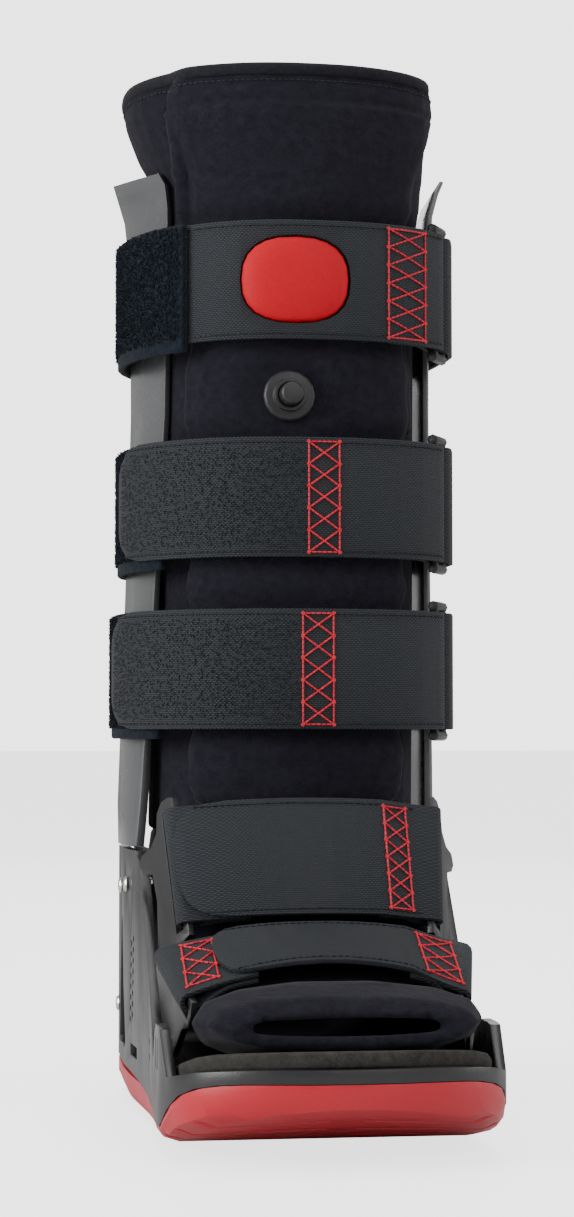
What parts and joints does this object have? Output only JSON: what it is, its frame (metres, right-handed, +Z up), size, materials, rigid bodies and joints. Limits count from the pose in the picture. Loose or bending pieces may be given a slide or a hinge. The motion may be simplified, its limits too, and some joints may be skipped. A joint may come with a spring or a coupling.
{
  "type": "medical walking boot",
  "caption": "Tall ankle walker: red rocker sole, plastic shell with two struts, padded hollow liner, hook-and-loop straps and an air valve button.",
  "frame": {"origin": "on the floor, on the flat of the sole, below the middle of the leg", "axes": "+Z up along the leg, toes towards -Y, +X to the viewer's right when the toes point at the viewer"},
  "size_m": [0.1489, 0.297, 0.4439],
  "materials": {
    "sole_rubber": "moulded red rubber, satin",
    "shell_plastic": "dark grey moulded plastic with a fine grain",
    "strut_plastic": "satin grey plastic",
    "insole_foam": "grey-brown foam with cut edge",
    "liner_fleece": "dark navy-charcoal brushed loop fabric over foam",
    "binding_tape": "sewn binding tape",
    "webbing": "woven charcoal webbing",
    "loop_pile": "fuzzy loop pile",
    "pump_red": "matt crimson cover",
    "valve_plastic": "dark grey rubbery plastic",
    "rivet_steel": "plated steel rivet"
  },
  "bodies": {
    "boot": {"back_strap_lower": "webbing", "back_strap_middle": "webbing", "back_strap_top": "webbing", "base_shell": "shell_plastic", "collar_binding": "binding_tape", "foot_liner": "liner_fleece", "forefoot_loop": "webbing", "forefoot_strap": "webbing", "forefoot_wing_left": "shell_plastic", "forefoot_wing_right": "shell_plastic", "front_panel": "liner_fleece", "front_strap_lower": "webbing", "front_strap_middle": "webbing", "front_strap_top": "webbing", "insole": "insole_foam", "instep_loop": "webbing", "instep_strap": "webbing", "instep_wing_left": "shell_plastic", "instep_wing_right": "shell_plastic", "leg_liner": "liner_fleece", "loop_band_lower": "loop_pile", "loop_band_middle": "loop_pile", "loop_band_top": "loop_pile", "outsole": "sole_rubber", "pump_cover": "pump_red", "rivet_left_front": "rivet_steel", "rivet_left_low": "rivet_steel", "rivet_left_rear": "rivet_steel", "rivet_right_front": "rivet_steel", "rivet_right_low": "rivet_steel", "rivet_right_rear": "rivet_steel", "strap_ring_lower": "shell_plastic", "strap_ring_middle": "shell_plastic", "strap_ring_top": "shell_plastic", "strut_left": "strut_plastic", "strut_right": "strut_plastic", "valve_base": "valve_plastic"},
    "button": {"release_button": "valve_plastic"}
  },
  "joints": [
    {"name": "button_press", "type": "slide", "parent": "boot", "child": "button", "axis": [0, 1, 0], "range_m": [0, 0.002], "stiffness_N_per_m": 500}
  ]
}
